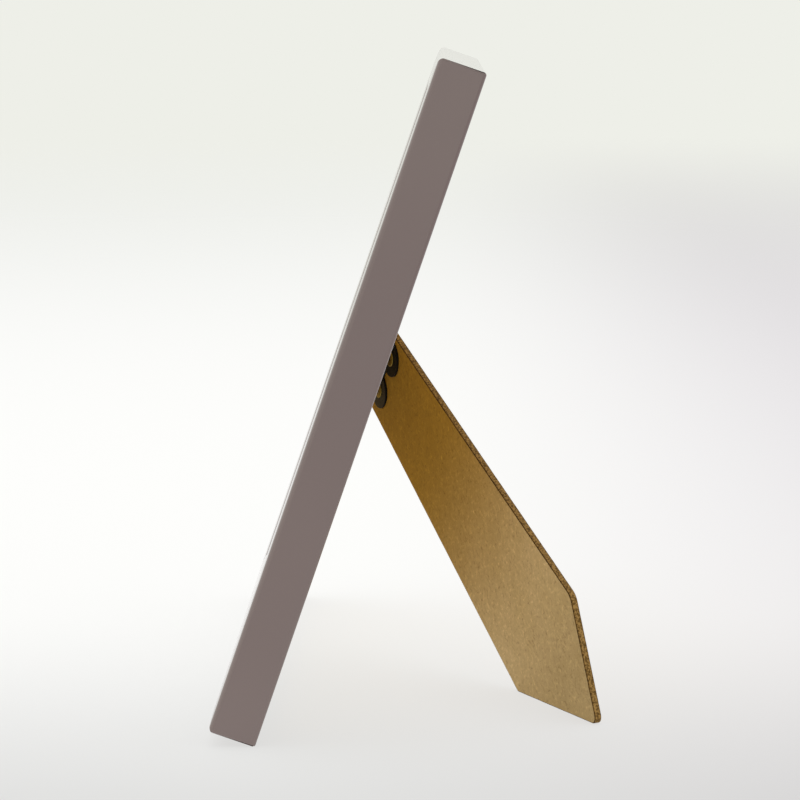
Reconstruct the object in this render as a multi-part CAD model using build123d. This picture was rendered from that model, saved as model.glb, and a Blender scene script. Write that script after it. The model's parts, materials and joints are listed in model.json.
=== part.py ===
from build123d import *
import os
from math import acos, atan2, cos, degrees, hypot, radians, sin, tan

# Easel-back photo frame for a 15 x 20 cm picture, standing on its bottom edge and on a folding leg.
# Every piece is laid out in the bench frame, with the frame lying face down: x runs across as seen
# from behind, y up the frame and z out of the back. z = 0 is the back of the moulding and y = 0 its
# bottom side. At the end the whole assembly is stood up at its own lean. All lengths are millimetres.

# Picture and moulding
picture_width = 200.0
picture_height = 150.0
picture_allowance = 1.0
moulding_depth = 12.0
rebate_wall = 7.5
lip_overlap = 4.5
lip_thickness = 2.5
front_round = 1.3
back_round = 0.4
corner_round = 0.6

# Corner fasteners, pressed in from behind across each mitre
v_nail_thickness = 0.6
v_nail_leg = 4.0
v_nail_depth = 6.0
v_nail_inset = 2.4
v_nail_sunk = 0.3

# Glazing, picture and back board, stacked in the rebate
glass_thickness = 2.0
print_thickness = 0.3
board_thickness = 2.5
board_clearance = 0.5
board_corner = 1.0

# Turn buttons, riveted to the board, with their noses in a groove of the rebate wall
groove_depth = 2.8
groove_headroom = 0.5
button_inset = 8.0
button_thickness = 0.8
button_lift = 0.1
button_nose_gap = 0.8
button_body_radius = 4.2
button_nose_radius = 2.4
long_side_button_offset = 60.0
left_button_height = 40.0
right_button_height = 125.0

# Sawtooth hangers
hanger_length = 40.0
hanger_width = 8.0
hanger_thickness = 0.6
hanger_foot = 8.0
hanger_ramp = 2.5
hanger_rise = 1.8
hanger_edge_gap = 9.0
tooth_pitch = 2.5
tooth_depth = 1.5
tooth_margin = 1.0

# Leg
leg_thickness = 1.8
leg_open_angle = 31.7
leg_side_gap = 2.4
leg_bottom_gap = 3.77
leg_near_top = 10.0
leg_far_top = 17.6
leg_near_flare = 18.0
leg_far_flare = 10.2
leg_side_cut = 22.8
leg_top_gap = 2.2
leg_tip_round = 1.8
leg_shoulder_round = 5.0
leg_corner_round = 1.5

# Hinge, set askew so that the leg swings out and down at once
hinge_angle = 48.0
hinge_offset = 39.6
hinge_height = 85.65
hinge_width = 20.5
leaf_thickness = 0.6
pin_radius = 0.6
running_clearance = 0.05
knuckle_lift = 0.1
middle_knuckle = 10.0
knuckle_gap = 0.2
lobe_radius = 5.2
lobe_spacing = 13.5
lobe_reach = 11.4
leaf_relief = 0.4
heel_gap = 0.05
pin_chamfer = 0.15

# Rivets and eyelets, with the rounded share of a head's height
rivet_fit = 0.05
rivet_dome = 0.7
rivet_foot_height = 0.5
button_rivet_radius = 1.5
button_rivet_head_radius = 2.8
button_rivet_head_height = 0.9
hanger_rivet_radius = 1.0
hanger_rivet_head_radius = 1.9
hanger_rivet_head_height = 0.6
hinge_rivet_radius = 1.4
hinge_rivet_head_radius = 2.3
hinge_rivet_head_height = 0.4
hinge_rivet_bore = 0.8

# Sizes that follow from the ones above
opening_width = picture_width + 2 * picture_allowance
opening_height = picture_height + 2 * picture_allowance
outer_width = opening_width + 2 * rebate_wall
outer_height = opening_height + 2 * rebate_wall
moulding_face = rebate_wall + lip_overlap
glass_front = lip_thickness - moulding_depth
print_front = glass_front + glass_thickness
board_front = print_front + print_thickness
board_back = board_front + board_thickness
groove_height = 2 * button_lift + button_thickness + groove_headroom
knuckle_radius = pin_radius + running_clearance + leaf_thickness
axis_lift = knuckle_radius + knuckle_lift
leg_inner = leaf_thickness / 2

# The closed leg points into the near bottom corner of the opening, which sets its length.
slant = radians(hinge_angle)
swing = radians(leg_open_angle)
tip_x = leg_side_gap - opening_width / 2
tip_y = rebate_wall + leg_bottom_gap
tip_along = (hinge_offset - tip_x) * cos(slant) + (tip_y - hinge_height) * sin(slant)
tip_out = (hinge_offset - tip_x) * sin(slant) - (tip_y - hinge_height) * cos(slant)

# With the leg open, a table top touches the rounded bottom edge of the back and the tip of the leg.
tip_open_out = tip_out * cos(swing) - leg_inner * sin(swing)
tip_open_y = hinge_height + tip_along * sin(slant) - tip_open_out * cos(slant)
tip_open_z = board_back + axis_lift + tip_out * sin(swing) + leg_inner * cos(swing)
reach_y = tip_open_y - back_round
reach_z = tip_open_z + back_round
lean = acos(-back_round / hypot(reach_y, reach_z)) - atan2(reach_z, reach_y)

# The foot of the leg is cut along the table top: this is its run along the pin for each step out.
foot_run = cos(slant) * cos(swing) / sin(slant) + sin(swing) * tan(lean) / sin(slant)
heel_reach = (axis_lift - leg_inner * cos(swing) - heel_gap) / sin(swing)


def prism(outline, base, height):
    """A flat outline raised from the level base."""
    return Pos(0, 0, base) * extrude(outline, height)


def outline_of(points):
    return make_face(Polyline(*points, close=True))


def cylinder_at(radius, base, height):
    return prism(Circle(radius), base, height)


def group(solids):
    """Separate solids that share one node."""
    return Compound(children=[piece.solid() for piece in solids])


def rail_bar(length):
    """A length of moulding with mitred ends, its outer side on y = 0 and its back on z = 0."""
    profile = outline_of([
        (0, 0),
        (0, -moulding_depth),
        (moulding_face, -moulding_depth),
        (moulding_face, glass_front),
        (rebate_wall, glass_front),
        (rebate_wall, board_back),
        (rebate_wall - groove_depth, board_back),
        (rebate_wall - groove_depth, board_back + groove_height),
        (rebate_wall, board_back + groove_height),
        (rebate_wall, 0),
    ])
    profile = fillet(profile.vertices().group_by(Axis.Y)[0], front_round)
    profile = fillet(profile.vertices().group_by(Axis.Y)[-1].sort_by(Axis.X)[0], back_round)
    bar = extrude(Plane.YZ * profile, length / 2, both=True)
    mitred = outline_of([
        (-length / 2, 0),
        (length / 2, 0),
        (length / 2 - moulding_face, moulding_face),
        (moulding_face - length / 2, moulding_face),
    ])
    return bar & prism(mitred, -moulding_depth, moulding_depth)


def v_nail(side_x, side_y):
    """One right-angled wedge nail, with a leg in each of the two rails that meet at a corner."""
    outline = outline_of([
        (0, 0),
        (v_nail_leg, 0),
        (v_nail_leg, v_nail_thickness),
        (v_nail_thickness, v_nail_thickness),
        (v_nail_thickness, v_nail_leg),
        (0, v_nail_leg),
    ])
    turn = {(-1, -1): 0, (1, -1): 90, (1, 1): 180, (-1, 1): 270}[(side_x, side_y)]
    nail = prism(outline, -v_nail_sunk - v_nail_depth, v_nail_depth)
    corner_x = side_x * (outer_width / 2 - v_nail_inset)
    corner_y = outer_height / 2 + side_y * (outer_height / 2 - v_nail_inset)
    return Pos(corner_x, corner_y, 0) * Rot(0, 0, turn) * nail


def rivet(radius, head_radius, head_height, grip, foot_height, bore=0.0):
    """A rivet along z: its grip starts at z = 0, with a domed head above and a flat foot below."""
    head = cylinder_at(head_radius, grip, head_height)
    head = fillet(head.edges().group_by(Axis.Z)[-1], rivet_dome * head_height)
    body = cylinder_at(radius, 0, grip) + head + cylinder_at(head_radius, -foot_height, foot_height)
    if bore:
        body -= cylinder_at(bore, -foot_height, grip + head_height + foot_height)
    return body


def board_rivet(radius, head_radius, head_height, stack, bore=0.0):
    """A rivet through the board and a stack on its back, its foot let into the front of the board."""
    grip = board_thickness - rivet_foot_height + stack
    made = rivet(radius, head_radius, head_height, grip, rivet_foot_height, bore)
    return Pos(0, 0, board_front + rivet_foot_height) * made


def rivet_hole(radius, head_radius):
    """The hole that a rivet needs in the board, with a pocket for its foot."""
    shank = cylinder_at(radius + rivet_fit, board_front, board_thickness)
    return shank + cylinder_at(head_radius + rivet_fit, board_front, rivet_foot_height)


def turn_button():
    """A pear-shaped plate about its pivot, with its nose along +y."""
    nose = button_inset + groove_depth - button_nose_gap - button_nose_radius
    rounds = Circle(button_body_radius).edges() + (Pos(0, nose) * Circle(button_nose_radius)).edges()
    plate = prism(make_hull(rounds), board_back + button_lift, button_thickness)
    return plate - cylinder_at(button_rivet_radius + running_clearance, board_back, moulding_depth)


def sawtooth_hanger():
    """A raised strip between two riveted feet, with teeth along the edge that sits on a nail."""
    half = hanger_length / 2
    low = [
        (-half, 0),
        (hanger_foot - half, 0),
        (hanger_foot + hanger_ramp - half, hanger_rise),
        (half - hanger_foot - hanger_ramp, hanger_rise),
        (half - hanger_foot, 0),
        (half, 0),
    ]
    high = [(x, z + hanger_thickness) for x, z in reversed(low)]
    strip = extrude(Plane.XZ * outline_of(low + high), hanger_width / 2, both=True)
    toothed = hanger_length - 2 * (hanger_foot + hanger_ramp + tooth_margin)
    count = int(toothed / tooth_pitch)
    notch = outline_of([(-tooth_pitch / 2, 0), (tooth_pitch / 2, 0), (0, tooth_depth)])
    cutter = prism(notch, 0, hanger_rise + 2 * hanger_thickness)
    for index in range(count):
        strip -= Pos((index - (count - 1) / 2) * tooth_pitch, -hanger_width / 2, 0) * cutter
    for foot_x in hanger_rivet_places:
        strip -= Pos(foot_x, 0, 0) * cylinder_at(hanger_rivet_radius + rivet_fit, 0, hanger_thickness)
    return Pos(0, 0, board_back) * strip


def lobed_leaf(start):
    """The flat outline of a leaf from the level start out to its two round lobes."""
    plate = Pos(0, (start + lobe_reach) / 2) * Rectangle(hinge_width, lobe_reach - start)
    for lobe_x in hinge_rivet_places:
        plate += Pos(lobe_x, lobe_reach) * Circle(lobe_radius)
    for lobe_x in hinge_rivet_places:
        plate -= Pos(lobe_x, lobe_reach) * Circle(hinge_rivet_radius + rivet_fit)
    return plate


def knuckle(length, middle):
    """A rolled knuckle about the pin, which runs along x."""
    return Pos(middle, 0, 0) * extrude(Plane.YZ * Circle(knuckle_radius), length / 2, both=True)


def pin_bore():
    return extrude(Plane.YZ * Circle(pin_radius + running_clearance), hinge_width, both=True)


def hinge_leg_leaf():
    """The leaf on the leg. Its heel reaches past the pin and meets the board when the leg is open."""
    neck_start = knuckle_radius + leaf_relief
    neck = Pos(0, (neck_start - heel_reach) / 2) * Rectangle(middle_knuckle, neck_start + heel_reach)
    plate = prism(lobed_leaf(neck_start) + neck, -leaf_thickness / 2, leaf_thickness)
    return plate + knuckle(middle_knuckle, 0) - pin_bore()


def hinge_board_leaf():
    """The leaf on the board, with two end knuckles and a window that lets the heel through."""
    window = hypot(heel_reach, leg_inner) + leaf_relief
    end_length = (hinge_width - middle_knuckle) / 2 - knuckle_gap
    end_middle = (hinge_width - end_length) / 2
    outline = lobed_leaf(window)
    for side in (-1, 1):
        outline += Pos(side * end_middle, window / 2) * Rectangle(end_length, window)
    leaf = prism(mirror(outline, Plane.XZ), -axis_lift, leaf_thickness)
    for side in (-1, 1):
        leaf += knuckle(end_length, side * end_middle)
    return leaf - pin_bore()


def hinge_pin():
    pin = extrude(Plane.YZ * Circle(pin_radius), hinge_width / 2, both=True)
    return chamfer(pin.edges().filter_by(GeomType.CIRCLE), pin_chamfer)


def easel_leg():
    """The leg, flat on its inner face: long flared edges, a side cut, and a foot along the table."""
    near = tan(radians(leg_near_flare))
    far = tan(radians(leg_far_flare))
    side = tan(radians(leg_side_cut))
    near_step = (leg_near_top + tip_out * near - tip_along) / (side + near)
    far_step = (tip_along + leg_far_top - tip_out * far) / (foot_run - far)
    rounds = {
        (far * leg_top_gap - leg_far_top, leg_top_gap): leg_corner_round,
        (leg_near_top + near * leg_top_gap, leg_top_gap): leg_corner_round,
        (tip_along + side * near_step, tip_out - near_step): leg_shoulder_round,
        (tip_along, tip_out): leg_tip_round,
        (tip_along - foot_run * far_step, tip_out - far_step): leg_corner_round,
    }
    blank = outline_of(rounds)
    for corner, radius in rounds.items():
        blank = fillet(blank.vertices().sort_by_distance((*corner, 0))[0], radius)
    leg = prism(blank, leg_inner, leg_thickness)
    hole = cylinder_at(hinge_rivet_radius + rivet_fit, leg_inner, leg_thickness)
    for rivet_x in hinge_rivet_places:
        leg -= Pos(rivet_x, lobe_reach, 0) * hole
    return leg


hinge_rivet_places = (-lobe_spacing / 2, lobe_spacing / 2)
hanger_rivet_places = ((hanger_foot - hanger_length) / 2, (hanger_length - hanger_foot) / 2)

# Where the buttons and hangers sit on the board, each turned to face its own side of the frame
button_reach_x = opening_width / 2 - button_inset
button_places = {
    "top": Pos(-long_side_button_offset, outer_height - rebate_wall - button_inset, 0),
    "bottom": Pos(long_side_button_offset, rebate_wall + button_inset, 0) * Rot(0, 0, 180),
    "left": Pos(button_reach_x, left_button_height, 0) * Rot(0, 0, -90),
    "right": Pos(-button_reach_x, right_button_height, 0) * Rot(0, 0, 90),
}
hanger_inset = rebate_wall + hanger_edge_gap + hanger_width / 2
hanger_places = {
    "landscape": Pos(0, outer_height - hanger_inset, 0),
    "portrait": Pos(outer_width / 2 - hanger_inset, outer_height / 2, 0) * Rot(0, 0, -90),
}
hinge_plane = Plane(
    origin=(hinge_offset, hinge_height, board_back + axis_lift),
    x_dir=(-cos(slant), sin(slant), 0),
    z_dir=(0, 0, 1),
)
hinge_at = hinge_plane.location
leg_at = hinge_at * Rot(leg_open_angle, 0, 0)
hinge_on_board = Pos(hinge_offset, hinge_height, 0) * Rot(0, 0, 180 - hinge_angle)
board_leaf_rivets = [hinge_on_board * Pos(x, -lobe_reach, 0) for x in hinge_rivet_places]
hanger_rivets = [place * Pos(x, 0, 0) for place in hanger_places.values() for x in hanger_rivet_places]

# Moulding
nails = [v_nail(x, y) for x in (-1, 1) for y in (-1, 1)]
middle = Pos(0, outer_height / 2, 0)
outer_outline = middle * RectangleRounded(outer_width, outer_height, corner_round)
outer_block = prism(outer_outline, -moulding_depth, moulding_depth)
rail_places = {
    "bottom_rail": (outer_width, Pos(0, 0, 0)),
    "top_rail": (outer_width, Pos(0, outer_height, 0) * Rot(0, 0, 180)),
    "left_rail": (outer_height, Pos(outer_width / 2, outer_height / 2, 0) * Rot(0, 0, 90)),
    "right_rail": (outer_height, Pos(-outer_width / 2, outer_height / 2, 0) * Rot(0, 0, -90)),
}
pieces = {}
for name, (length, place) in rail_places.items():
    rail = (place * rail_bar(length)) & outer_block
    for nail in nails:
        rail -= nail
    pieces[name] = rail
pieces["corner_v_nails"] = group(nails)

# Picture pack
board_size = (opening_width - 2 * board_clearance, opening_height - 2 * board_clearance)
pieces["glass_pane"] = prism(middle * Rectangle(*board_size), glass_front, glass_thickness)
picture = middle * Rectangle(picture_width, picture_height)
pieces["photo_insert"] = prism(picture, print_front, print_thickness)
board = prism(middle * RectangleRounded(*board_size, board_corner), board_front, board_thickness)
for place in button_places.values():
    board -= place * rivet_hole(button_rivet_radius, button_rivet_head_radius)
for place in hanger_rivets:
    board -= place * rivet_hole(hanger_rivet_radius, hanger_rivet_head_radius)
for place in board_leaf_rivets:
    board -= place * rivet_hole(hinge_rivet_radius, hinge_rivet_head_radius)
pieces["back_board"] = board

# Turn buttons and hangers
button_stack = 2 * button_lift + button_thickness
button_rivet = board_rivet(
    button_rivet_radius, button_rivet_head_radius, button_rivet_head_height, button_stack
)
for side, place in button_places.items():
    pieces[f"turn_button_{side}"] = place * turn_button()
pieces["turn_button_rivets"] = group([place * button_rivet for place in button_places.values()])
for way, place in hanger_places.items():
    pieces[f"hanger_{way}"] = place * sawtooth_hanger()
hanger_rivet = board_rivet(
    hanger_rivet_radius, hanger_rivet_head_radius, hanger_rivet_head_height, hanger_thickness
)
pieces["hanger_rivets"] = group([place * hanger_rivet for place in hanger_rivets])

# Hinge and leg, with the leg open
pieces["hinge_board_leaf"] = hinge_at * hinge_board_leaf()
pieces["hinge_pin"] = hinge_at * hinge_pin()
leaf_rivet = board_rivet(
    hinge_rivet_radius, hinge_rivet_head_radius, hinge_rivet_head_height, leaf_thickness, hinge_rivet_bore
)
pieces["hinge_board_rivets"] = group([place * leaf_rivet for place in board_leaf_rivets])
pieces["easel_leg"] = leg_at * easel_leg()
pieces["hinge_leg_leaf"] = leg_at * hinge_leg_leaf()
leg_grip = leaf_thickness + leg_thickness
leg_rivet = rivet(
    hinge_rivet_radius, hinge_rivet_head_radius, hinge_rivet_head_height, leg_grip, hinge_rivet_head_height,
    hinge_rivet_bore,
)
leg_rivet_places = [leg_at * Pos(x, lobe_reach, -leaf_thickness / 2) for x in hinge_rivet_places]
pieces["hinge_leg_rivets"] = group([place * leg_rivet for place in leg_rivet_places])

# Stood up: x runs to the right as seen from the front, and the middle of the footprint is the origin.
upright = Plane(origin=(0, 0, 0), x_dir=(-1, 0, 0), z_dir=(0, cos(lean), -sin(lean))).location
stood = {name: upright * piece for name, piece in pieces.items()}
box = Compound(children=[solid for piece in stood.values() for solid in piece.solids()]).bounding_box()
to_origin = Pos(-box.center().X, -box.center().Y, -box.min.Z)

os.makedirs("parts", exist_ok=True)
for name, piece in stood.items():
    export_step(to_origin * piece, f"parts/{name}.step")
print(f"lean {degrees(lean):.2f} degrees, box {box.size.X:.1f} x {box.size.Y:.1f} x {box.size.Z:.1f} mm")
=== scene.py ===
# %% [markdown]
# # An easel-back photo frame
# A lacquered picture frame stands on its bottom edge and on a folding leg of thin brown board.
# Its construction, with every size and every hinge, is loaded as a fixed frame. This lesson dresses
# that frame: it gives each piece its finish, and models again the pieces whose surface is more than
# a clean machined solid.

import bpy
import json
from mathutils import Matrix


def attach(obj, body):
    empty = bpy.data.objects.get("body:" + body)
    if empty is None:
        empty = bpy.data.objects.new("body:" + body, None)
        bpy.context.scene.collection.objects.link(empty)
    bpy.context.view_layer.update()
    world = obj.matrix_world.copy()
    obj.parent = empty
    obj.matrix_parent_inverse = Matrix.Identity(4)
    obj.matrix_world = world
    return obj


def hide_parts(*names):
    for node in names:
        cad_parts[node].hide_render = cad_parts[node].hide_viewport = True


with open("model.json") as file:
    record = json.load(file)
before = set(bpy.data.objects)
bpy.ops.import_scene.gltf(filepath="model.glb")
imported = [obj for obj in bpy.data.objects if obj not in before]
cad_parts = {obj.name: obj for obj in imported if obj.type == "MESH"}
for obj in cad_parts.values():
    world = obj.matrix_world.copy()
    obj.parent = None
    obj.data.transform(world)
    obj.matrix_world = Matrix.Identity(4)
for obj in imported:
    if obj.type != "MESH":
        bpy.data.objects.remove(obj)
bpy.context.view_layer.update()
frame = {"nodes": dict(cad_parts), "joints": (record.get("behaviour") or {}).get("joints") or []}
nodes = frame["nodes"]

# %% [markdown]
# Blender works in metres and this object is talked about in millimetres, so one named factor turns
# one into the other. Colours are written as the hex values that a colour picker shows. The shader
# wants linear light, so one function does that conversion for every material.

# %% Units and colours
from math import ceil, copysign, cos, degrees, pi, radians, sin

import bmesh
import bpy
from mathutils import Matrix, Vector, noise
from mathutils.geometry import convex_hull_2d

MM = 0.001


def linear(hex_colour):
    """An sRGB hex colour as the linear values that a shader works with."""
    shown = [int(hex_colour[start:start + 2], 16) / 255 for start in (1, 3, 5)]
    return (*[c / 12.92 if c <= 0.04045 else ((c + 0.055) / 1.055) ** 2.4 for c in shown], 1.0)


print("mid grey is", linear("#808080")[0])

# %% [markdown]
# A finish is a small graph of nodes. Writing each node, its settings and its links by hand takes
# many lines, so one function does all three: a value that is a socket becomes a link, and any other
# value is set on the socket.

# %% Nodes
def add_node(tree, kind, inputs=None, **settings):
    """One node of a kind, with its settings, and its sockets set or linked."""
    made = tree.nodes.new(kind)
    for name, value in settings.items():
        setattr(made, name, value)
    for socket, value in (inputs or {}).items():
        if isinstance(value, bpy.types.NodeSocket):
            tree.links.new(value, made.inputs[socket])
        else:
            made.inputs[socket].default_value = value
    return made


def new_finish(name, **sockets):
    """A material with one principled shader, whose even values are set on its own sockets."""
    made = bpy.data.materials.new(name)
    made.use_nodes = True
    shader = made.node_tree.nodes["Principled BSDF"]
    for socket, value in sockets.items():
        shader.inputs[socket.replace("_", " ")].default_value = value
    return made, made.node_tree, shader


print("a node helper and a finish helper are ready")

# %% [markdown]
# The frame leans back, so its own directions are needed: across it, up it and out of its back. They
# come from the record, where every turn button turns about the line out of the back. The bench frame
# lies with its origin at the middle of the back's bottom edge, as if the frame lay face down.

# %% Directions of the frame
RAILS = ("top_rail", "bottom_rail", "left_rail", "right_rail")
joints = {joint["name"]: joint for joint in frame["joints"]}
out_of_back = Vector(joints["top_button_turn"]["axis"]).normalized()
across = Vector((-1, 0, 0))
up_frame = out_of_back.cross(across)


def reach(names, direction):
    """The lowest and highest place of some CAD nodes along a direction."""
    along = [vertex.co.dot(direction) for name in names for vertex in nodes[name].data.vertices]
    return min(along), max(along)


def placed(x_axis, y_axis, z_axis, origin):
    """The matrix of a local frame with these axes and this origin."""
    made = Matrix((x_axis, y_axis, z_axis)).transposed().to_4x4()
    made.translation = origin
    return made


bottom, top = reach(RAILS, up_frame)
front_side, back_side = reach(RAILS, out_of_back)
bench = placed(across, up_frame, out_of_back, up_frame * bottom + out_of_back * back_side)
outer_height = top - bottom
outer_width = 2 * reach(RAILS, across)[1]
print("frame", round(outer_width / MM, 2), "by", round(outer_height / MM, 2), "mm")

# %% [markdown]
# The leg has a local frame too: along its hinge pin, down the leg, and out of its outer face. The
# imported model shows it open, so its face is the back's direction turned by the hinge's range.

# %% Directions of the leg
hinge = joints["leg_hinge"]
open_angle = -hinge["range_deg"][0]
pin_middle = Vector(hinge["pos_m"])
pin_line = Vector(hinge["axis"]).normalized()
leg_out = Matrix.Rotation(radians(open_angle), 3, pin_line) @ out_of_back
down_leg = leg_out.cross(pin_line)
leg_bench = placed(pin_line, down_leg, leg_out, pin_middle)
leg_reach = [(level - pin_middle.dot(down_leg)) / MM for level in reach(["easel_leg"], down_leg)]
print("the leg opens by", open_angle, "degrees and reaches to", round(leg_reach[1], 1), "mm from its pin")

# %% [markdown]
# The photograph is taken almost square to the frame's side, from a little above the table, with a
# long lens. The place, from the middle of the back's bottom edge, and the angles were worked out from
# the corners of the frame and the leg.

# %% Camera
CAMERA_PLACE = bench.translation + Vector((940.22, 44.79, 173.54)) * MM
CAMERA_YAW = radians(-0.732)
CAMERA_PITCH = radians(-6.26)
SENSOR_WIDTH = 36
LENS = 162

level_way = Vector((-cos(CAMERA_YAW), sin(CAMERA_YAW), 0))
looking = level_way * cos(CAMERA_PITCH) + Vector((0, 0, sin(CAMERA_PITCH)))
camera = bpy.data.objects.new("camera", bpy.data.cameras.new("camera"))
camera.data.sensor_width = SENSOR_WIDTH
camera.data.lens = LENS
camera.location = CAMERA_PLACE
camera.rotation_mode = "QUATERNION"
camera.rotation_quaternion = looking.to_track_quat("-Z", "Y")
bpy.context.scene.collection.objects.link(camera)
bpy.context.scene.camera = camera
bpy.context.scene.view_settings.view_transform = "Standard"
print("camera", round((CAMERA_PLACE - pin_middle).length, 3), "m from the hinge")

# %% [markdown]
# A background should look as bright as it is meant to, whatever light it sends on to the object. The
# renderer knows what each ray is for, so a few nodes tell the rays that see, straight to the camera,
# off a mirror or through glass, from the rays that carry light. The floor and the sky both use them.

# %% Rays that see
def seen_by(tree):
    """One for a ray to the camera, to a mirror or through glass, and zero for any other."""
    path = add_node(tree, "ShaderNodeLightPath").outputs
    seen = path["Is Camera Ray"]
    for other in ("Is Glossy Ray", "Is Transmission Ray"):
        both = {0: seen, 1: path[other]}
        seen = add_node(tree, "ShaderNodeMath", both, operation="MAXIMUM").outputs[0]
    return seen


print("rays that see can be told from rays that carry light")

# %% [markdown]
# The object stands on plain pale paper. Its colour carries painted light: it is painted brightest behind
# the object, with painted shade in front of it and to one side. Like a light table, the paper shows only a
# faint shadow: most of its colour is its own glow, and the rest is light that it gives back. The glow that
# falls on the object is set apart from the glow that is seen: it is weaker under the leg, and stronger
# round it. Far from the object the paper fades into the background, so no horizon shows from any side.

# %% Studio paper
FLOOR_RADIUS = 4.0
FLOOR_FADE = 0.8
FLOOR_GREY = "#d7d7d6"
OWN_COLOUR = 0.82
GLOW_SEEN = 0.957
GLOW_UNDER = 1.15
GLOW_ROUND = 1.95
DIM_PLACE = (0, 0.05, 0)
DIM_RADII = (0.1, 0.17)
# Each tint of painted light and shade on the paper: along which axis, where it starts and is whole, its
# colour and its blend.
PAINTED_FLOOR_LIGHT = (
    ("X", 0.3, -0.09, "#fdfdfb", "MIX"),
    ("X", -0.4, -2.6, "#f3f4f1", "MIX"),
    ("Y", -0.03, 0.24, "#e8e5e9", "MULTIPLY"),
)


def paper_colour(tree, where):
    """The grey of the paper with its painted light and shade laid over it."""
    split = add_node(tree, "ShaderNodeSeparateXYZ", {0: where}).outputs
    colour = linear(FLOOR_GREY)
    for axis, start, end, tint, blend in PAINTED_FLOOR_LIGHT:
        share = add_node(tree, "ShaderNodeMapRange", {
            0: split[axis], 1: start, 2: end,
        }, interpolation_type="SMOOTHSTEP").outputs[0]
        colour = add_node(tree, "ShaderNodeMix", {
            0: share, 6: colour, 7: linear(tint),
        }, data_type="RGBA", blend_type=blend).outputs[2]
    return colour


def glow_strength(tree, where):
    """How strongly the paper glows: one level for rays that see, and another for those that light."""
    off = add_node(tree, "ShaderNodeVectorMath", {
        0: where, 1: DIM_PLACE,
    }, operation="DISTANCE").outputs["Value"]
    light = add_node(tree, "ShaderNodeMapRange", {
        0: off, 1: DIM_RADII[0], 2: DIM_RADII[1], 3: GLOW_UNDER, 4: GLOW_ROUND,
    }).outputs[0]
    return add_node(tree, "ShaderNodeMix", {0: seen_by(tree), 2: light, 3: GLOW_SEEN}).outputs[0]


def studio_paper():
    made, tree, shader = new_finish("matt_studio_paper", Roughness=1.0, Specular_IOR_Level=0.0)
    where = add_node(tree, "ShaderNodeTexCoord").outputs["Object"]
    # The paper's colour carries painted light and shade.
    colour = paper_colour(tree, where)
    tree.links.new(colour, shader.inputs["Base Color"])
    glow = add_node(tree, "ShaderNodeEmission", {
        "Color": colour, "Strength": glow_strength(tree, where),
    }).outputs[0]
    paper = add_node(tree, "ShaderNodeMixShader", {0: OWN_COLOUR, 1: shader.outputs[0], 2: glow}).outputs[0]
    far = add_node(tree, "ShaderNodeVectorMath", {0: where}, operation="LENGTH").outputs["Value"]
    gone = add_node(tree, "ShaderNodeMapRange", {
        0: far, 1: FLOOR_FADE, 2: FLOOR_RADIUS,
    }, interpolation_type="SMOOTHSTEP").outputs[0]
    clear = add_node(tree, "ShaderNodeBsdfTransparent").outputs[0]
    mixed = add_node(tree, "ShaderNodeMixShader", {0: gone, 1: paper, 2: clear}).outputs[0]
    tree.links.new(mixed, tree.nodes["Material Output"].inputs["Surface"])
    return made


paper = studio_paper()
print("paper of", FLOOR_GREY, "with", len(PAINTED_FLOOR_LIGHT), "tints")

# %% [markdown]
# A flat disc does for the sheet of paper. It is stage, not part of the object.

# %% Floor
FLOOR_SIDES = 96

turns = [2 * pi * i / FLOOR_SIDES for i in range(FLOOR_SIDES)]
rim = [(FLOOR_RADIUS * cos(turn), FLOOR_RADIUS * sin(turn), 0) for turn in turns]
floor_mesh = bpy.data.meshes.new("floor")
floor_mesh.from_pydata(rim, [], [range(FLOOR_SIDES)])
floor_mesh.materials.append(paper)
floor = bpy.data.objects.new("floor", floor_mesh)
bpy.context.scene.collection.objects.link(floor)
print("floor", 2 * FLOOR_RADIUS, "m across")

# %% [markdown]
# Light comes from a pale sky all round, which is a little brighter behind the object than before it,
# and from one large soft box overhead. Rays that see get the background's own colour instead, so the
# light on the object and the colour behind it can be set apart.

# %% Light
SKY_BEHIND = 1.2
SKY_BEFORE = 0.85
BACKGROUND = "#eeefe8"
SOFT_BOX_PLACE = Vector((-250, -250, 1000)) * MM
SOFT_BOX_SIZE = 1.2
SOFT_BOX_POWER = 3.0

world = bpy.data.worlds.new("studio")
world.use_nodes = True
bpy.context.scene.world = world
sky = world.node_tree
way = add_node(sky, "ShaderNodeTexCoord").outputs["Generated"]
before = add_node(sky, "ShaderNodeSeparateXYZ", {0: way}).outputs["X"]
light = add_node(sky, "ShaderNodeMapRange", {0: before, 1: -1, 3: SKY_BEHIND, 4: SKY_BEFORE}).outputs[0]
lit = add_node(sky, "ShaderNodeBackground", {"Color": (1, 1, 1, 1), "Strength": light}).outputs[0]
shown = add_node(sky, "ShaderNodeBackground", {"Color": linear(BACKGROUND), "Strength": 1.0}).outputs[0]
both = add_node(sky, "ShaderNodeMixShader", {0: seen_by(sky), 1: lit, 2: shown}).outputs[0]
sky.links.new(both, sky.nodes["World Output"].inputs["Surface"])

soft_box = bpy.data.objects.new("soft_box", bpy.data.lights.new("soft_box", "AREA"))
soft_box.data.shape = "DISK"
soft_box.data.size = SOFT_BOX_SIZE
soft_box.data.energy = SOFT_BOX_POWER
soft_box.location = SOFT_BOX_PLACE
soft_box.rotation_mode = "QUATERNION"
soft_box.rotation_quaternion = (pin_middle - SOFT_BOX_PLACE).to_track_quat("-Z", "Y")
bpy.context.scene.collection.objects.link(soft_box)
print("sky from", SKY_BEHIND, "behind to", SKY_BEFORE, "and a soft box of", SOFT_BOX_POWER, "W")

# %% [markdown]
# Patterns and masks are laid out in a local frame, so that they lie along the object and not along
# the world. Three helpers serve every finish from here on: the scale of a pattern from its real size,
# the place of a point in a local frame, and how far in from the frame's outer sides that place lies.

# %% Places on the object
def per_mm(size):
    """The noise scale that gives features of this size in millimetres."""
    return 1 / (size * MM)


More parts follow.
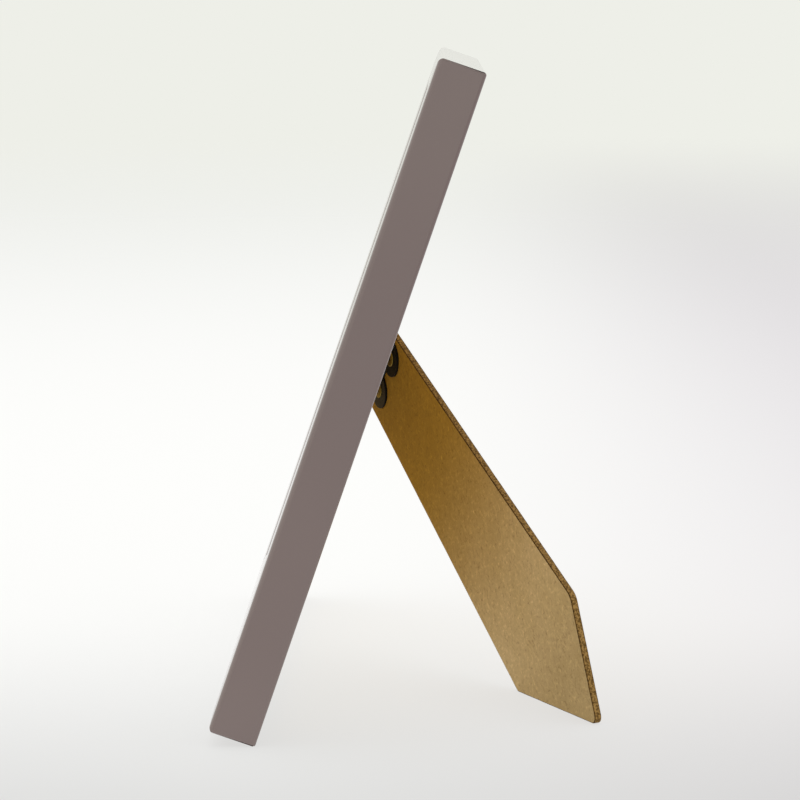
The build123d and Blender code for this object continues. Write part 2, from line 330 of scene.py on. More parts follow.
def place_in(tree, local_frame):
    """Where a point of a piece lies in a local frame, as it does with every joint at rest."""
    to_local = local_frame.inverted()
    where = add_node(tree, "ShaderNodeTexCoord").outputs["Object"]
    return add_node(tree, "ShaderNodeMapping", {
        "Vector": where, "Location": to_local.translation, "Rotation": to_local.to_euler(),
    }).outputs[0]


def inset_of(tree, split):
    """How far a place in the bench frame lies in from the nearest outer side of the moulding."""
    insets = []
    for axis, half, middle in (("X", outer_width / 2, 0.0), ("Y", outer_height / 2, outer_height / 2)):
        off = add_node(tree, "ShaderNodeMath", {0: split[axis], 1: middle}, operation="SUBTRACT").outputs[0]
        off = add_node(tree, "ShaderNodeMath", {0: off}, operation="ABSOLUTE").outputs[0]
        insets.append(add_node(tree, "ShaderNodeMath", {0: half, 1: off}, operation="SUBTRACT").outputs[0])
    return add_node(tree, "ShaderNodeMath", {
        0: insets[0], 1: insets[1],
    }, operation="MINIMUM").outputs[0]


print("a pattern of 1 mm has a noise scale of", per_mm(1))

# %% [markdown]
# The moulding is MDF, sprayed with a satin taupe lacquer and then with a clear one. The gun doesn't
# reach into the rebate, so there the bare brown board shows, with a ragged edge of overspray near the
# back. A mask made from the place in the bench frame tells the two apart.

# %% Where the board is bare
LACQUER_REACH = 4.6 * MM
LIP_BACK = 9.55 * MM
OVERSPRAY_SIZE = 4
OVERSPRAY_DEPTH = 1.2 * MM
OVERSPRAY_FADE = (-1.44 * MM, -2.64 * MM)


def bare_share(tree, place, split):
    """One where the board is bare: inside the rebate, behind the lip and past the overspray."""
    inside = add_node(tree, "ShaderNodeMath", {
        0: inset_of(tree, split), 1: LACQUER_REACH,
    }, operation="GREATER_THAN").outputs[0]
    behind_lip = add_node(tree, "ShaderNodeMath", {
        0: split["Z"], 1: -LIP_BACK,
    }, operation="GREATER_THAN").outputs[0]
    spray = add_node(tree, "ShaderNodeTexNoise", {
        "Vector": place, "Scale": per_mm(OVERSPRAY_SIZE), "Detail": 5.0,
    }).outputs[0]
    ragged = add_node(tree, "ShaderNodeMath", {
        0: spray, 1: -2 * OVERSPRAY_DEPTH, 2: split["Z"],
    }, operation="MULTIPLY_ADD").outputs[0]
    bare = add_node(tree, "ShaderNodeMapRange", {
        0: ragged, 1: OVERSPRAY_FADE[0], 2: OVERSPRAY_FADE[1],
    }).outputs[0]
    for mask in (inside, behind_lip):
        bare = add_node(tree, "ShaderNodeMath", {0: bare, 1: mask}, operation="MULTIPLY").outputs[0]
    return bare


print("lacquer reaches", round(LACQUER_REACH / MM, 1), "mm in from the outer sides")

# %% [markdown]
# Spraying leaves an even colour with faint clouds in it and a skin with very shallow orange peel. The
# clear coat turns a face that is seen at a glance almost as bright as what lies behind it. A principled
# shader has a coat of its own for that. Bare board has neither coat nor gloss.

# %% Satin lacquer on MDF
LACQUER = ("#6b5c59", "#70615d")
BARE_BOARD = ("#8a6a3c", "#a07f4e")
CLOUD_SIZE = 35
FIBRE_CLUMP_SIZE = 1.6
ORANGE_PEEL_SIZE = 1.1
ORANGE_PEEL_HEIGHT = 0.02 * MM
# Each socket with its value on lacquer and its value on bare board.
LACQUER_GLOSS = (("Roughness", 0.1, 0.85), ("Coat Weight", 0.65, 0.0))


def satin_lacquer():
    made, tree, shader = new_finish("satin_lacquer_sprayed_on_mdf", IOR=1.5, Coat_Roughness=0.06)
    place = place_in(tree, bench)
    split = add_node(tree, "ShaderNodeSeparateXYZ", {0: place}).outputs
    cloud = add_node(tree, "ShaderNodeTexNoise", {
        "Vector": place, "Scale": per_mm(CLOUD_SIZE), "Detail": 3.0,
    }).outputs[0]
    paint = add_node(tree, "ShaderNodeMix", {
        0: cloud, 6: linear(LACQUER[0]), 7: linear(LACQUER[1]),
    }, data_type="RGBA").outputs[2]
    clump = add_node(tree, "ShaderNodeTexNoise", {
        "Vector": place, "Scale": per_mm(FIBRE_CLUMP_SIZE), "Detail": 4.0, "Roughness": 0.65,
    }).outputs[0]
    board = add_node(tree, "ShaderNodeMix", {
        0: clump, 6: linear(BARE_BOARD[0]), 7: linear(BARE_BOARD[1]),
    }, data_type="RGBA").outputs[2]
    bare = bare_share(tree, place, split)
    colour = add_node(tree, "ShaderNodeMix", {0: bare, 6: paint, 7: board}, data_type="RGBA").outputs[2]
    tree.links.new(colour, shader.inputs["Base Color"])
    for socket, on_lacquer, on_board in LACQUER_GLOSS:
        value = add_node(tree, "ShaderNodeMapRange", {0: bare, 3: on_lacquer, 4: on_board}).outputs[0]
        tree.links.new(value, shader.inputs[socket])
    peel = add_node(tree, "ShaderNodeTexNoise", {
        "Vector": place, "Scale": per_mm(ORANGE_PEEL_SIZE), "Detail": 1.0,
    }).outputs[0]
    bump = add_node(tree, "ShaderNodeBump", {
        "Height": peel, "Strength": 0.05, "Distance": ORANGE_PEEL_HEIGHT,
    }).outputs[0]
    tree.links.new(bump, shader.inputs["Normal"])
    return made


lacquer = satin_lacquer()
print("lacquer", LACQUER, "over board", BARE_BOARD)

# %% [markdown]
# A CAD solid has perfectly sharp edges, and no real edge is sharp: it catches a thin line of light.
# A bevel modifier eases the edges without touching the solid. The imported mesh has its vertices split
# along every edge, so a weld comes first, and weighted normals keep the flat faces flat.

# %% Eased edges
EASE_ANGLE = radians(40)
WELD = 0.002 * MM


def dress(piece, finish, ease):
    """A finish on a piece, whose sharp edges are eased by a width in millimetres."""
    piece.data.materials.clear()
    piece.data.materials.append(finish)
    weld = piece.modifiers.new("weld", "WELD")
    weld.merge_threshold = WELD
    bevel = piece.modifiers.new("ease", "BEVEL")
    bevel.width = ease * MM
    bevel.segments = 2
    bevel.limit_method = "ANGLE"
    bevel.angle_limit = EASE_ANGLE
    bevel.harden_normals = True
    even = piece.modifiers.new("even", "WEIGHTED_NORMAL")
    even.keep_sharp = True
    return piece


print("edges turn sharp past", round(degrees(EASE_ANGLE)), "degrees")

# %% [markdown]
# Some pieces are modelled again. A new mesh is easiest to build in a local frame, so one function moves
# it to its place and turns it into an object. Each such piece then stands for a CAD node, which is
# hidden, and rides on the same body.

# %% Pieces that stand for a node
def new_piece(name, bm, place):
    """Turns a mesh that was built in a local frame into an object of the scene."""
    bm.transform(place)
    mesh = bpy.data.meshes.new(name)
    bm.to_mesh(mesh)
    bm.free()
    piece = bpy.data.objects.new(name, mesh)
    bpy.context.scene.collection.objects.link(piece)
    return piece


print("a helper for new pieces is ready")

# %% [markdown]
# The outer edge of the moulding's back is sanded before it is sprayed, and comes out rounder than the
# solid has it. The solid's round already has the right kind of curve, so its points are moved twice as
# far from the corner that they round. Where two rails meet, both move in the same way and still fit.

# %% Sanded back edge
BACK_ROUND = 0.4 * MM
frame_middle = Vector((0, outer_height / 2, 0))


def sand_back(vertex):
    """Doubles the round along the outer edge of the back, about the corner that it rounds."""
    off = vertex.co - frame_middle
    insets = (outer_width / 2 - abs(off.x), outer_height / 2 - abs(off.y))
    if max(-vertex.co.z, min(insets)) < BACK_ROUND + WELD:
        vertex.co.z *= 2
        for axis, inset in enumerate(insets):
            if inset < BACK_ROUND + WELD:
                vertex.co[axis] -= copysign(inset, off[axis])


print("the back's edge is sanded to", round(2 * BACK_ROUND / MM, 1), "mm")

# %% [markdown]
# The front of the moulding isn't quite flat: it swells a little between its two edges, so from the side
# a pale strip of it shows past the edge, on the near rail and on the far one. Each rail is copied from
# its solid, cut lengthwise into strips, and bent: the middle of its face stays where it is, and the
# edges sink. The bend dies out behind the lip, so the rebate stays true. The nails in the corners are
# sunk below the back.

# %% Crowned moulding
CROWN = 0.5 * MM
CROWN_STRIPS = 10
LIP_THICKNESS = 2.5 * MM
RAIL_EASE = 0.15
RAIL_SIDES = {"top_rail": (0, 1), "bottom_rail": (0, -1), "left_rail": (1, 0), "right_rail": (-1, 0)}
front_level = front_side - back_side
moulding_face = reach(["top_rail"], up_frame)[1] - reach(["top_rail"], up_frame)[0]


def crowned_rail(node, side):
    """A copy of a rail, bent so that its front is a shallow crown, as a piece that stands for it."""
    outward = Vector((*side, 0))
    bm = bmesh.new()
    bm.from_mesh(nodes[node].data)
    bm.transform(bench.inverted())
    bmesh.ops.remove_doubles(bm, verts=bm.verts, dist=WELD)
    outer = max((vertex.co - frame_middle).dot(outward) for vertex in bm.verts)
    for strip in range(1, CROWN_STRIPS):
        cut = frame_middle + outward * (outer - moulding_face * strip / CROWN_STRIPS)
        whole = [*bm.verts, *bm.edges, *bm.faces]
        bmesh.ops.bisect_plane(bm, geom=whole, plane_co=cut, plane_no=outward, dist=WELD)
    for vertex in bm.verts:
        inset = outer - (vertex.co - frame_middle).dot(outward)
        from_middle = 2 * inset / moulding_face - 1
        in_lip = max(0, 1 - (vertex.co.z - front_level) / LIP_THICKNESS)
        vertex.co.z += CROWN * from_middle ** 2 * in_lip
        sand_back(vertex)
    for face in bm.faces:
        face.smooth = True
    piece = new_piece(f"crowned_{node}", bm, bench)
    piece.data.set_sharp_from_angle(angle=EASE_ANGLE)
    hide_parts(node)
    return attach(piece, "frame")


for name, side in RAIL_SIDES.items():
    dress(crowned_rail(name, side), lacquer, RAIL_EASE)
print("crowned", *RAIL_SIDES, "with a face of", round(moulding_face / MM, 2), "mm")

# %% [markdown]
# The board and the leg are thin MDF, raw as it comes from the press. The pressed face is smooth and
# even, with short fibres that lie every way, and each lightens or darkens the tone that it lies on.
# Three stretched noises, each turned another way, give such fibres. Real fibres are about 0.1 mm wide,
# which is too fine to show, so they are drawn at about six times that. The leg's inner face carries
# painted shade: it is painted darker and more golden by its hinge, where the frame shades it, paler
# further down, and darker again at its foot. The other faces are pale all over.

# %% Pressed face of raw MDF
# Painted shade: the leg's inner face is painted darker and more golden by its hinge, where the frame shades
# it.
MDF_PAINTED_SHADE = ("#9c7928", "#ae8a35")
MDF_PLAIN = ("#b79d68", "#c9af80")
# Painted shade at the leg's foot, for the shadow that falls by it.
MDF_PAINTED_FOOT_SHADE = ("#a28957", "#b59b6b")
# The later tones of the face with painted shade, and where each starts and is whole, in millimetres from
# the pin.
PAINTED_SHADE_TONES = ((MDF_PLAIN, 40, 108), (MDF_PAINTED_FOOT_SHADE, 104, 140))
PRESS_CLOUD_SIZE = 14
PRESS_RELIEF = 0.04 * MM
FIBRE_LENGTH = 1.7
FIBRE_WIDTH = 0.65
FIBRE_WAYS = (20, 75, 130)
FIBRE_SHARE = 0.46
# The tint of each kind of fibre, its blend, and the noise where a fibre starts and is whole.
FIBRES = (("#a9aeb6", "DODGE", 0.57, 0.74), ("#a08c70", "MULTIPLY", 0.38, 0.22))


def clouded_board(tree, place, cloud, tones, changes):
    """The colour of a pressed face without its fibres, with changes of tone along the frame's y."""
    along = add_node(tree, "ShaderNodeSeparateXYZ", {0: place}).outputs["Y"]
    colour = add_node(tree, "ShaderNodeMix", {
        0: cloud, 6: linear(tones[0]), 7: linear(tones[1]),
    }, data_type="RGBA").outputs[2]
    for later, start, end in changes:
        clouded = add_node(tree, "ShaderNodeMix", {
            0: cloud, 6: linear(later[0]), 7: linear(later[1]),
        }, data_type="RGBA").outputs[2]
        share = add_node(tree, "ShaderNodeMapRange", {
            0: along, 1: start * MM, 2: end * MM,
        }, interpolation_type="SMOOTHSTEP").outputs[0]
        colour = add_node(tree, "ShaderNodeMix", {
            0: share, 6: colour, 7: clouded,
        }, data_type="RGBA").outputs[2]
    return colour


def pressed_mdf(name, local_frame, tones, changes=()):
    made, tree, shader = new_finish(
        f"raw_mdf_pressed_face_{name}", Roughness=0.75, IOR=1.5, Specular_IOR_Level=0.25
    )
    place = place_in(tree, local_frame)
    cloud = add_node(tree, "ShaderNodeTexNoise", {
        "Vector": place, "Scale": per_mm(PRESS_CLOUD_SIZE), "Detail": 5.0, "Roughness": 0.6,
    }).outputs[0]
    colour = clouded_board(tree, place, cloud, tones, changes)
    height = cloud
    for turn in FIBRE_WAYS:
        turned = add_node(tree, "ShaderNodeMapping", {
            "Vector": place, "Rotation": (0, 0, radians(turn)),
            "Scale": (FIBRE_LENGTH * MM, FIBRE_WIDTH * MM, FIBRE_WIDTH * MM),
        }, vector_type="TEXTURE").outputs[0]
        fibre = add_node(tree, "ShaderNodeTexNoise", {
            "Vector": turned, "Scale": 1.0, "Detail": 2.0,
        }).outputs[0]
        for tint, blend, start, whole in FIBRES:
            share = add_node(tree, "ShaderNodeMapRange", {
                0: fibre, 1: start, 2: whole, 4: FIBRE_SHARE,
            }).outputs[0]
            colour = add_node(tree, "ShaderNodeMix", {
                0: share, 6: colour, 7: linear(tint),
            }, data_type="RGBA", blend_type=blend).outputs[2]
        height = add_node(tree, "ShaderNodeMath", {0: height, 1: fibre}, operation="ADD").outputs[0]
    tree.links.new(colour, shader.inputs["Base Color"])
    bump = add_node(tree, "ShaderNodeBump", {
        "Height": height, "Strength": 0.25, "Distance": PRESS_RELIEF,
    }).outputs[0]
    tree.links.new(bump, shader.inputs["Normal"])
    return made


# The leg's inner face gets painted shade along its length.
leg_face_painted_shade = pressed_mdf("with_painted_shade", leg_bench, MDF_PAINTED_SHADE, PAINTED_SHADE_TONES)
leg_face = pressed_mdf("of_leg", leg_bench, MDF_PLAIN)
board_face = pressed_mdf("of_board", bench, MDF_PLAIN)
print("MDF face from", MDF_PAINTED_SHADE, "to", MDF_PLAIN)

# %% [markdown]
# A saw opens the board's core. The cut edge is rougher and darker than the face, and stippled where
# fibres were torn out or stand up. Its two arrises are painted darker still: painted shade along the
# eased edges. Real stipple is as fine as the fibres, so it too is drawn coarser than it is.

# %% Sawn edge of raw MDF
MDF_EDGE = ("#5c431c", "#9c7a43")
# The arris tones are painted shade, a dark line along each eased edge.
MDF_PAINTED_ARRIS_SHADE = ("#3d2a0e", "#63481f")
STIPPLE_SIZE = 0.6
STIPPLE_LEVELS = (0.42, 0.58)
STIPPLE_RELIEF = 0.15 * MM


def sawn_mdf(name, tones):
    made, tree, shader = new_finish(name, Roughness=0.9, IOR=1.5, Specular_IOR_Level=0.2)
    place = add_node(tree, "ShaderNodeTexCoord").outputs["Object"]
    stipple = add_node(tree, "ShaderNodeTexNoise", {
        "Vector": place, "Scale": per_mm(STIPPLE_SIZE), "Detail": 3.0, "Roughness": 0.7,
    }).outputs[0]
    share = add_node(tree, "ShaderNodeMapRange", {
        0: stipple, 1: STIPPLE_LEVELS[0], 2: STIPPLE_LEVELS[1],
    }).outputs[0]
    colour = add_node(tree, "ShaderNodeMix", {
        0: share, 6: linear(tones[0]), 7: linear(tones[1]),
    }, data_type="RGBA").outputs[2]
    tree.links.new(colour, shader.inputs["Base Color"])
    bump = add_node(tree, "ShaderNodeBump", {
        "Height": stipple, "Strength": 0.6, "Distance": STIPPLE_RELIEF,
    }).outputs[0]
    tree.links.new(bump, shader.inputs["Normal"])
    return made


mdf_edge = sawn_mdf("raw_mdf_sawn_edge", MDF_EDGE)
# The arrises get painted shade.
arris_painted_shade = sawn_mdf("raw_mdf_painted_shade_arris", MDF_PAINTED_ARRIS_SHADE)
print("MDF edge", MDF_EDGE, "and arris", MDF_PAINTED_ARRIS_SHADE)

# %% [markdown]
# The leg and the board are cut from sheet, and a saw cut isn't quite straight. The outline is walked in
# short steps, and each step is pushed in by a little noise, square to the outline there. Noise that is
# read from the place itself gives the same cut each time.

# %% Saw cut
SAW_STEP = 1.2 * MM
SAW_DEPTH = 0.07 * MM
SAW_WAVE = 3 * SAW_STEP


def walk(corners, step):
    """The points of a closed outline, with long sides divided into steps."""
    points = []
    for start, end in zip(corners, corners[1:] + corners[:1]):
        count = max(1, ceil((end - start).length / step))
        points += [start.lerp(end, i / count) for i in range(count)]
    return points


def out_of(points, index):
    """The direction out of a closed outline that runs anticlockwise, at one of its points."""
    along = points[(index + 1) % len(points)] - points[index - 1]
    return Vector((along.y, -along.x)).normalized()


def saw_cut(outline, inset, level):
    """An outline moved in by an inset, and torn a little further by the saw."""
    moved = []
    for i, point in enumerate(outline):
        torn = SAW_DEPTH * (1 + noise.noise(Vector((*point, level)) / SAW_WAVE)) / 2
        moved.append(point - out_of(outline, i) * (inset + torn))
    return moved


print("a saw cut wavers by", round(SAW_DEPTH / MM, 2), "mm")

# %% [markdown]
# One function models a sheet. It builds the edge in rows through the thickness: rows close together
# ease each arris, and a few between them carry the saw's waver. Then it bores the rivet holes and fills
# the two faces around them. Each face of the mesh gets the number of its finish.

# %% Mesh of a sheet
ARRIS = 0.22 * MM
ARRIS_ROWS = ((1.0, 0.0), (0.3, 0.3), (0.0, 1.0))
CORE_ROWS = (1 / 3, 1 / 2, 2 / 3)
EYELET_HOLE = 1.45 * MM
HOLE_SIDES = 32
# The third finish of a sheet is the painted shade on its arrises.
BACK_FACE, SAWN_EDGE, PAINTED_SHADE_ARRIS, FRONT_FACE = range(4)


def edge_rows(low, high):
    """The inset and the level of each row of an edge, from the front face to the back one."""
    rows = [(inset * ARRIS, low + rise * ARRIS) for inset, rise in ARRIS_ROWS]
    rows += [(0.0, low + (high - low) * share) for share in CORE_ROWS]
    return rows + [(inset * ARRIS, high - rise * ARRIS) for inset, rise in reversed(ARRIS_ROWS)]


def bore(centre):
    """The points round a rivet hole."""
    turns = [2 * pi * i / HOLE_SIDES for i in range(HOLE_SIDES)]
    return [centre + EYELET_HOLE * Vector((cos(turn), sin(turn))) for turn in turns]


def ring_of(bm, points, level):
    return [bm.verts.new((point.x, point.y, level)) for point in points]


def sheet_mesh(outline, low, high, holes):
    """A sawn sheet between two levels, with rivet holes."""
    bm = bmesh.new()
    rows = [ring_of(bm, saw_cut(outline, inset, level), level) for inset, level in edge_rows(low, high)]
    bores = [[ring_of(bm, bore(hole), level) for hole in holes] for level in (low, high)]
    # The rows that ease each arris carry the painted shade.
    arris_shade = [PAINTED_SHADE_ARRIS] * (len(ARRIS_ROWS) - 1)
    sawn = [SAWN_EDGE] * (len(rows) - 1 - 2 * len(arris_shade))
    finishes = [*arris_shade, *sawn, *arris_shade, *[SAWN_EDGE] * len(holes)]
    strips = [*zip(rows, rows[1:]), *zip(bores[1], bores[0])]
    for (below, above), finish in zip(strips, finishes):
        for i in range(len(below)):
            face = bm.faces.new((below[i - 1], below[i], above[i], above[i - 1]))
            face.smooth = True
            face.material_index = finish
    for loops, finish in (([rows[0], *bores[0]], FRONT_FACE), ([rows[-1], *bores[1]], BACK_FACE)):
        edges = [bm.edges.get((loop[i - 1], loop[i])) for loop in loops for i in range(len(loop))]
        for made in bmesh.ops.triangle_fill(bm, edges=edges, use_beauty=True)["geom"]:
            if isinstance(made, bmesh.types.BMFace):
                made.material_index = finish
    bmesh.ops.recalc_face_normals(bm, faces=bm.faces)
    return bm


print("a sheet's edge has", len(edge_rows(0, 1)), "rows")

# %% [markdown]
# The leg's sheet and the board's sheet take their outline, thickness and holes from their CAD nodes. The
# outline is the hull of the node's points, seen along the sheet's own line out of its back. The holes
# are at the middles of the hinge's eyelets.

# %% Leg and board
def in_frame(node, place):
    """The points of a CAD node in the local frame of place."""
    to_local = place.inverted()
    return [to_local @ vertex.co for vertex in nodes[node].data.vertices]


def centres(node, place):
    """The centres of a node's two rivets, in the local frame of place, parted at their middle."""
    local = in_frame(node, place)
    middle = (min(point.x for point in local) + max(point.x for point in local)) / 2
    found = []
    for side in (-1, 1):
        half = [point for point in local if side * (point.x - middle) > 0]
        found.append(Vector([(min(p[k] for p in half) + max(p[k] for p in half)) / 2 for k in (0, 1)]))
    return found


def sheet_piece(name, node, place, holes, finishes, body):
    """A sawn sheet that stands for a CAD node, with a finish for each number on its mesh."""
    local = in_frame(node, place)
    flat = [point.xy for point in local]
    outline = walk([flat[i] for i in convex_hull_2d(flat)], SAW_STEP)
    bm = sheet_mesh(outline, min(p.z for p in local), max(p.z for p in local), holes)
    piece = new_piece(name, bm, place)
    for finish in finishes:
        piece.data.materials.append(finish)
    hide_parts(node)
    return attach(piece, body)


leg_eyelets = centres("hinge_leg_rivets", leg_bench)
board_eyelets = centres("hinge_board_rivets", bench)
leg_finishes = (leg_face, mdf_edge, arris_painted_shade, leg_face_painted_shade)
board_finishes = (board_face, mdf_edge, arris_painted_shade, board_face)
leg = sheet_piece("leg_sheet", "easel_leg", leg_bench, leg_eyelets, leg_finishes, "leg")
board = sheet_piece("board_sheet", "back_board", bench, board_eyelets, board_finishes, "frame")
print("leg with", len(leg.data.polygons), "faces, board with", len(board.data.polygons))

# %% [markdown]
# The metal pieces share one kind of surface: a thin coat whose colour and gloss drift a little from
# place to place. One function makes it from two tones, a cloud and a range of roughness. The hinge
# leaves and the turn buttons are stamped from sheet steel and stoved in black enamel, which is dark and
# only softly glossy.

# %% Black enamel on steel
ENAMEL = ("#0d0c0c", "#161414")
ENAMEL_CLOUD_SIZE = 2.5
ENAMEL_ROUGHNESS = (0.28, 0.46)
ENAMEL_EASE = 0.12
CLOUD_LEVELS = (0.3, 0.7)
SIDES = ("top", "bottom", "left", "right")
ENAMELLED = ("hinge_board_leaf", "hinge_leg_leaf", *[f"turn_button_{side}" for side in SIDES])


def clouded_coat(name, tones, cloud, roughness, **sockets):
    """A coat whose colour and roughness drift together with a soft noise."""
    made, tree, shader = new_finish(name, **sockets)
    place = add_node(tree, "ShaderNodeTexCoord").outputs["Object"]
    drift = add_node(tree, "ShaderNodeTexNoise", {"Vector": place, **cloud}).outputs[0]
    colour = add_node(tree, "ShaderNodeMix", {
        0: drift, 6: linear(tones[0]), 7: linear(tones[1]),
    }, data_type="RGBA").outputs[2]
    tree.links.new(colour, shader.inputs["Base Color"])
    rough = add_node(tree, "ShaderNodeMapRange", {
        0: drift, 1: CLOUD_LEVELS[0], 2: CLOUD_LEVELS[1], 3: roughness[0], 4: roughness[1],
    }).outputs[0]
    tree.links.new(rough, shader.inputs["Roughness"])
    return made


enamel_cloud = {"Scale": per_mm(ENAMEL_CLOUD_SIZE), "Detail": 4.0}
enamel = clouded_coat(
    "black_stoved_enamel_on_steel", ENAMEL, enamel_cloud, ENAMEL_ROUGHNESS, IOR=1.5, Specular_IOR_Level=0.1
)
for name in ENAMELLED:
    dress(nodes[name], enamel, ENAMEL_EASE)
print("enamelled", len(ENAMELLED), "nodes")

# %% [markdown]
# The hangers, the small rivets, the corner nails and the pin are zinc-plated steel. The plating is a
# pale metal, slightly cloudy, with a soft shine. Smaller pieces have smaller eased edges.

# %% Zinc plate on steel
ZINC = ("#a3a5a6", "#c3c4c2")
ZINC_CLOUD_SIZE = 3.0
ZINC_ROUGHNESS = (0.25, 0.45)
ZINC_EASE = {
    "hanger_landscape": 0.08, "hanger_portrait": 0.08, "corner_v_nails": 0.08, "hinge_pin": 0.08,
    "hanger_rivets": 0.05, "turn_button_rivets": 0.05,
}

zinc_cloud = {"Scale": per_mm(ZINC_CLOUD_SIZE), "Detail": 6.0, "Roughness": 0.6}
zinc = clouded_coat("bright_zinc_plate_on_steel", ZINC, zinc_cloud, ZINC_ROUGHNESS, Metallic=1.0)
for name, ease in ZINC_EASE.items():
    dress(nodes[name], zinc, ease)
print("zinc plated", len(ZINC_EASE), "nodes")

# %% [markdown]
# Each hinge leaf is held by two hollow eyelets of dull, darkened brass. An eyelet is a tube whose ends
# are rolled over, so its rim is round like half a ring. A closed profile turned about its axis gives
# that.

# %% Brass eyelets
BRASS = ("#7e6c34", "#9a8846")
BRASS_CLOUD_SIZE = 1.5
BRASS_ROUGHNESS = (0.35, 0.5)
EYELET_BORE = 0.8 * MM
EYELET_RIM = 2.3 * MM
EYELET_SHANK = 1.4 * MM
EYELET_ROLL = 0.4 * MM
EYELET_STEPS = 40
ROLL_POINTS = 10


def eyelet_profile(low, high):
    """The closed profile of an eyelet between the levels of its two rims, as radius and level."""
    middle = (EYELET_BORE + EYELET_RIM) / 2
    half = (EYELET_RIM - EYELET_BORE) / 2
    arc = [pi * i / ROLL_POINTS for i in range(ROLL_POINTS + 1)]
    upper = [(middle - half * cos(a), high - EYELET_ROLL + EYELET_ROLL * sin(a)) for a in arc]
    lower = [(middle + half * cos(a), low + EYELET_ROLL - EYELET_ROLL * sin(a)) for a in arc]
    return upper + [(EYELET_SHANK, high - EYELET_ROLL), (EYELET_SHANK, low + EYELET_ROLL)] + lower


def eyelets(name, node, place, spots, body):
    """Two turned eyelets in one piece, which stand for a node's two rivets."""
    local = in_frame(node, place)
    profile = eyelet_profile(min(p.z for p in local), max(p.z for p in local))
    bm = bmesh.new()
    for spot in spots:
        rings = []
        for step in range(EYELET_STEPS):
            turn = 2 * pi * step / EYELET_STEPS
            points = [(spot.x + r * cos(turn), spot.y + r * sin(turn), z) for r, z in profile]
            rings.append([bm.verts.new(point) for point in points])
        for ring, after in zip(rings, rings[1:] + rings[:1]):
            for i in range(len(profile)):
                bm.faces.new((ring[i - 1], ring[i], after[i], after[i - 1])).smooth = True
    bmesh.ops.recalc_face_normals(bm, faces=bm.faces)
    piece = new_piece(name, bm, place)
    piece.data.materials.append(brass)
    piece.data.set_sharp_from_angle(angle=EASE_ANGLE)
    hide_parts(node)
    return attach(piece, body)


brass_cloud = {"Scale": per_mm(BRASS_CLOUD_SIZE), "Detail": 4.0}
brass = clouded_coat("darkened_brass_rolled", BRASS, brass_cloud, BRASS_ROUGHNESS, Metallic=1.0)
eyelets("leg_eyelets", "hinge_leg_rivets", leg_bench, leg_eyelets, "leg")
eyelets("board_eyelets", "hinge_board_rivets", bench, board_eyelets, "frame")
print("turned", len(leg_eyelets) + len(board_eyelets), "eyelets")

# %% [markdown]
# The glazing is clear float glass. Light that falls through a pane is lost to a shadow ray in this
# renderer, so for those rays the pane is transparent, and the print behind it is lit as it should be.
# Pane and print lie face to face. Two faces in one place break up into stripes, so a modifier shrinks
# the pane by a hair, and the film of air that paper really leaves there keeps them apart.

# %% Float glass
GLASS_TINT = "#fafdfb"
GLASS_EASE = 0.1
AIR_FILM = 0.03 * MM


def float_glass():
    made, tree, shader = new_finish(
        "clear_float_glass", Base_Color=linear(GLASS_TINT), Roughness=0.0, IOR=1.52, Transmission_Weight=1.0
    )
    clear = add_node(tree, "ShaderNodeBsdfTransparent", {"Color": linear(GLASS_TINT)}).outputs[0]
    shadow = add_node(tree, "ShaderNodeLightPath").outputs["Is Shadow Ray"]
    mixed = add_node(tree, "ShaderNodeMixShader", {0: shadow, 1: shader.outputs[0], 2: clear}).outputs[0]
    tree.links.new(mixed, tree.nodes["Material Output"].inputs["Surface"])
    return made


pane = dress(nodes["glass_pane"], float_glass(), GLASS_EASE)
shrink = pane.modifiers.new("air_film", "DISPLACE")
shrink.strength = -AIR_FILM
shrink.mid_level = 0
print("glazed, with an air film of", round(AIR_FILM / MM, 2), "mm")

# %% [markdown]
# The picture is a matt print with a white border. Its view is of nothing in particular: a pale sky
# over four ridges of hills, each nearer one darker. Each ridge is a line of noise across the sheet, and
# mist lies in the valley before it.

# %% Printed insert
PAPER = "#efece5"
SKY_LOW = "#e3ddd3"
SKY_HIGH = "#b9c3c6"
SKY_LEVELS = (90 * MM, 150 * MM)
# The tint of each ridge, and its level, its rise and the width of its hills in millimetres.
RIDGES = (
    ("#b3b6b3", 95, 16, 60),
    ("#8f9693", 78, 15, 45),
    ("#6c756f", 60, 14, 36),
    ("#4b544c", 42, 12, 28),
)
RIDGE_NOISE = (0.2, 0.8)
RIDGE_EDGE = 0.4 * MM
MIST_DEPTH = 35 * MM
MIST_SHARE = 0.35
BORDER = 15 * MM
PAPER_EASE = 0.03


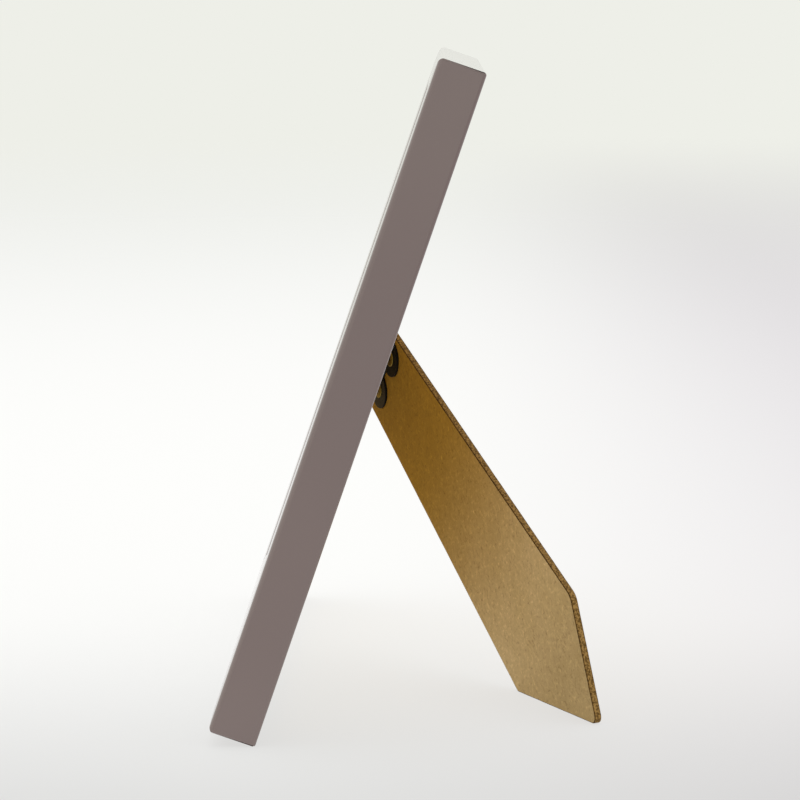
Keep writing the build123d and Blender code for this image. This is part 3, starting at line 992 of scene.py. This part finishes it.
def ridge_over(tree, split, colour, tint, level, rise, width):
    """A colour with one ridge of misty hills laid over it."""
    along = add_node(tree, "ShaderNodeMath", {0: split["X"], 1: level * MM}, operation="ADD").outputs[0]
    line = add_node(tree, "ShaderNodeTexNoise", {
        "W": along, "Scale": per_mm(width), "Detail": 6.0, "Roughness": 0.45,
    }, noise_dimensions="1D").outputs[0]
    ridge = add_node(tree, "ShaderNodeMapRange", {
        0: line, 1: RIDGE_NOISE[0], 2: RIDGE_NOISE[1], 3: (level - rise) * MM, 4: (level + rise) * MM,
    }).outputs[0]
    under = add_node(tree, "ShaderNodeMath", {0: ridge, 1: split["Y"]}, operation="SUBTRACT").outputs[0]
    share = add_node(tree, "ShaderNodeMapRange", {0: under, 2: RIDGE_EDGE}).outputs[0]
    mist = add_node(tree, "ShaderNodeMapRange", {0: under, 2: MIST_DEPTH, 4: MIST_SHARE}).outputs[0]
    hills = add_node(tree, "ShaderNodeMix", {
        0: mist, 6: linear(tint), 7: linear(SKY_LOW),
    }, data_type="RGBA").outputs[2]
    return add_node(tree, "ShaderNodeMix", {0: share, 6: colour, 7: hills}, data_type="RGBA").outputs[2]


def printed_paper():
    made, tree, shader = new_finish("matt_ink_print_on_paper", Roughness=0.65, IOR=1.45)
    split = add_node(tree, "ShaderNodeSeparateXYZ", {0: place_in(tree, bench)}).outputs
    height = add_node(tree, "ShaderNodeMapRange", {
        0: split["Y"], 1: SKY_LEVELS[0], 2: SKY_LEVELS[1],
    }).outputs[0]
    colour = add_node(tree, "ShaderNodeMix", {
        0: height, 6: linear(SKY_LOW), 7: linear(SKY_HIGH),
    }, data_type="RGBA").outputs[2]
    for ridge in RIDGES:
        colour = ridge_over(tree, split, colour, *ridge)
    inked = add_node(tree, "ShaderNodeMath", {
        0: inset_of(tree, split), 1: moulding_face + BORDER,
    }, operation="GREATER_THAN").outputs[0]
    colour = add_node(tree, "ShaderNodeMix", {
        0: inked, 6: linear(PAPER), 7: colour,
    }, data_type="RGBA").outputs[2]
    tree.links.new(colour, shader.inputs["Base Color"])
    return made


dress(nodes["photo_insert"], printed_paper(), PAPER_EASE)
print("printed", len(RIDGES), "ridges")

# %% [markdown]
# The dressed object has to stay inside the construction's box.

# %% Import of json
import json
